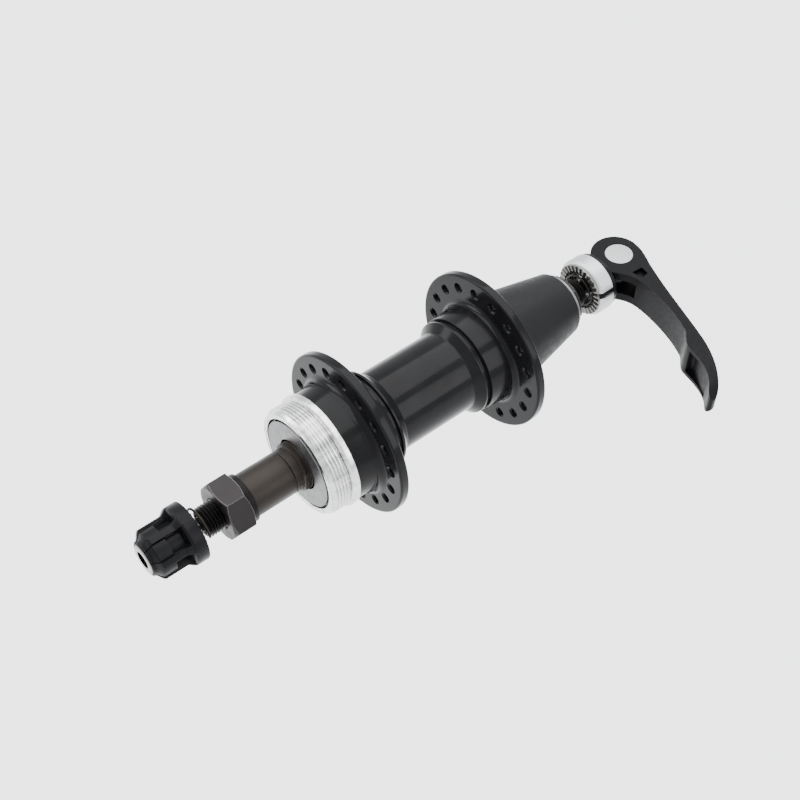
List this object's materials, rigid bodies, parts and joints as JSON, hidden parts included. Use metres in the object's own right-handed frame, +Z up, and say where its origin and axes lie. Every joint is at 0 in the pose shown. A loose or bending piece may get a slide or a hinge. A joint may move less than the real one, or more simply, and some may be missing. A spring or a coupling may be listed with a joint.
{
  "type": "bicycle rear hub",
  "caption": "Threaded rear bicycle hub with cup-and-cone bearings, stepped spacer axle, conical side cover and a quick-release skewer with cam lever and ribbed adjusting nut.",
  "frame": {"origin": "on the axle axis, midway between the outer faces of the two locknuts", "axes": "+Y along the axle from the freewheel side to the lever side, +Z up, +X the way the closed lever points"},
  "size_m": [0.0879, 0.1907, 0.0532],
  "materials": {
    "shell_black": "gloss anodised",
    "boss_bright": "turned, bright",
    "race_steel": "ground",
    "ball_steel": "polished",
    "cap_metal": "pressed, satin",
    "dark_steel": "phosphated",
    "spacer_steel": "phosphated",
    "nut_steel": "phosphated",
    "boot_plastic": "satin",
    "rod_steel": "rolled thread",
    "pin_metal": "matte",
    "lever_black": "satin powder coat",
    "housing_metal": "satin, nearly white",
    "saddle_plastic": "moulded",
    "bite_steel": "serrated",
    "spring_steel": "dark spring wire",
    "nut_black": "satin",
    "insert_metal": "plated"
  },
  "bodies": {
    "axle": {"hollow_axle": "dark_steel", "drive_cone": "dark_steel", "left_cone": "dark_steel", "drive_spacer": "spacer_steel", "left_spacer": "spacer_steel", "drive_lock_washer": "dark_steel", "left_lock_washer": "cap_metal", "drive_locknut": "nut_steel", "left_locknut": "nut_steel", "left_boot": "boot_plastic"},
    "shell": {"hub_shell": "shell_black", "threaded_boss": "boss_bright", "drive_bearing_cup": "race_steel", "left_bearing_cup": "race_steel", "drive_dust_cap": "cap_metal", "left_dust_cap": "cap_metal"},
    "drive_balls": {"drive_bearing_balls": "ball_steel"},
    "left_balls": {"left_bearing_balls": "ball_steel"},
    "skewer": {"skewer_rod": "rod_steel", "pivot_pin": "pin_metal"},
    "lever": {"qr_lever": "lever_black"},
    "housing": {"cam_housing": "housing_metal", "cam_saddle": "saddle_plastic", "housing_bite_ring": "bite_steel", "lever_side_spring": "spring_steel"},
    "nut_face": {"nut_bite_ring": "bite_steel", "nut_side_spring": "spring_steel"},
    "nut": {"adjusting_nut": "nut_black", "nut_insert": "insert_metal"}
  },
  "joints": [
    {"name": "hub_spin", "type": "hinge", "parent": "axle", "child": "shell", "pos_m": [0, 0, 0], "axis": [0, 1, 0], "continuous": true},
    {"name": "drive_balls_orbit", "type": "hinge", "parent": "axle", "child": "drive_balls", "pos_m": [0, -0.0335, 0], "axis": [0, 1, 0], "continuous": true},
    {"name": "left_balls_orbit", "type": "hinge", "parent": "axle", "child": "left_balls", "pos_m": [0, 0.0286, 0], "axis": [0, 1, 0], "continuous": true},
    {"name": "skewer_float", "type": "slide", "parent": "axle", "child": "skewer", "axis": [0, 1, 0], "range_m": [-0.0015, 0.0015], "stiffness_N_per_m": 400},
    {"name": "lever_swing", "type": "hinge", "parent": "skewer", "child": "lever", "pos_m": [0, 0.09135, 0], "axis": [0, 0, 1], "range_deg": [0, 180]},
    {"name": "housing_lift", "type": "slide", "parent": "skewer", "child": "housing", "axis": [0, 1, 0], "range_m": [0, 0.0024], "deforming": ["lever_side_spring"]},
    {"name": "nut_turn", "type": "hinge", "parent": "nut_face", "child": "nut", "pos_m": [0, -0.083, 0], "axis": [0, 1, 0], "range_deg": [-2890, 1090]},
    {"name": "nut_travel", "type": "slide", "parent": "skewer", "child": "nut_face", "axis": [0, 1, 0], "range_m": [-0.0064, 0.0024], "deforming": ["nut_side_spring"]}
  ],
  "couplings": [
    {"joint": "drive_balls_orbit", "follows": "hub_spin", "ratio": 0.6123},
    {"joint": "left_balls_orbit", "follows": "hub_spin", "ratio": 0.6123},
    {"joint": "housing_lift", "follows": "lever_swing", "m_per_rad": 0.000763},
    {"joint": "nut_turn", "follows": "nut_travel", "rad_per_m": 7854}
  ]
}
